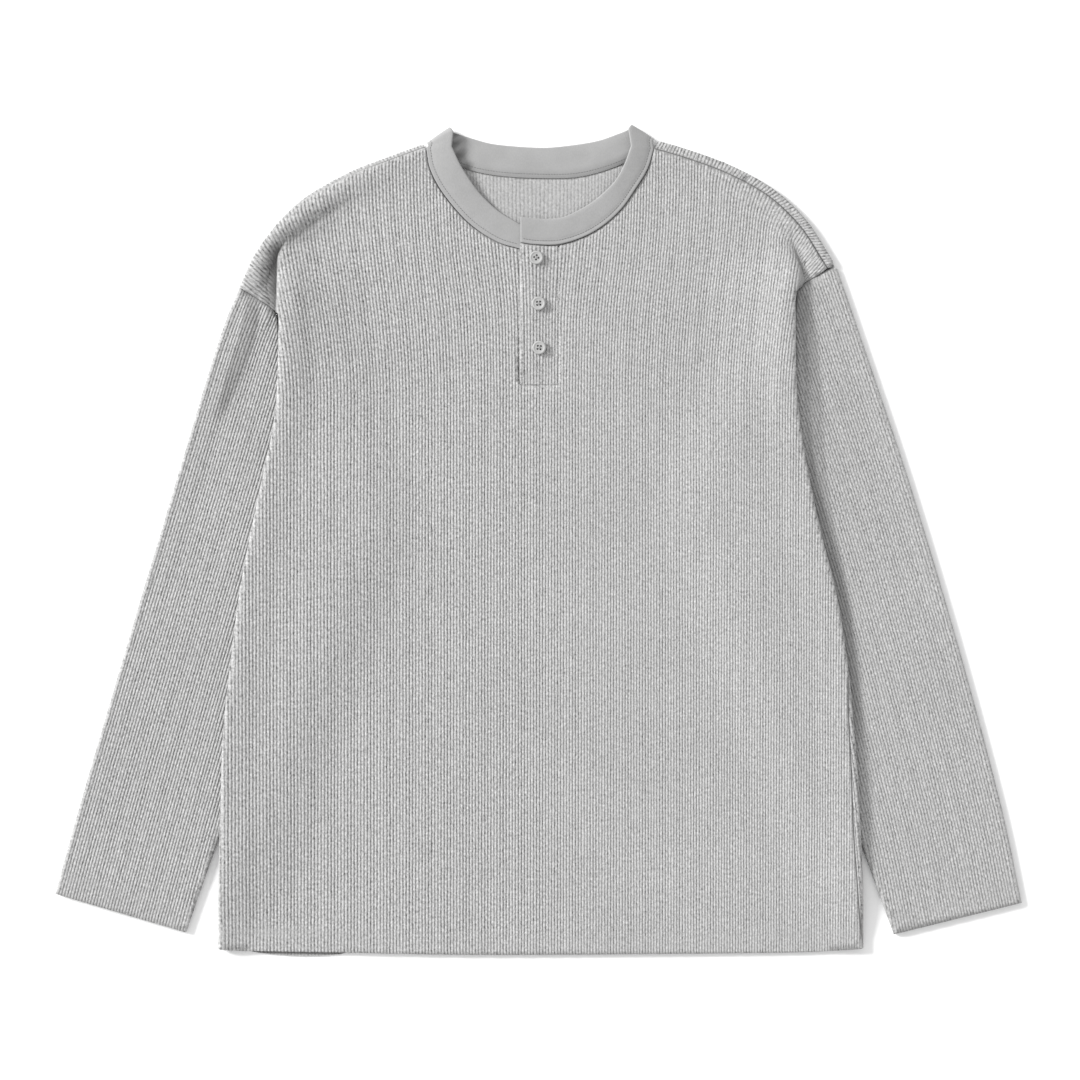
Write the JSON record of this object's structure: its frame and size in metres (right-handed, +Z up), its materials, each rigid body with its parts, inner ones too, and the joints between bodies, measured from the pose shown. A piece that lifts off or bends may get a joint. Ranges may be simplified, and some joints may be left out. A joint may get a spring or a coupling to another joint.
{
  "type": "henley shirt",
  "caption": "Long-sleeved rib-knit henley shirt laid flat, with a jersey neckband and a short buttoned placket.",
  "frame": {"origin": "on the surface that the shirt lies on, below the middle of its overall box", "axes": "+X across the shirt to the wearer's left sleeve, +Y up the shirt to the neck, +Z up out of the surface, through the front"},
  "size_m": [0.8442, 0.7266, 0.016],
  "materials": {
    "rib_knit": "crinkled fine rib knit, matte mid grey",
    "jersey_band": "smooth matte jersey, mid grey",
    "button_plastic": "satin grey plastic, turned rim"
  },
  "bodies": {
    "root": {"front": "rib_knit", "back": "rib_knit", "sleeve_left": "rib_knit", "sleeve_right": "rib_knit", "placket_upper": "rib_knit", "placket_under": "rib_knit", "neckband": "jersey_band", "button_top": "button_plastic", "button_middle": "button_plastic", "button_bottom": "button_plastic"}
  },
  "joints": []
}
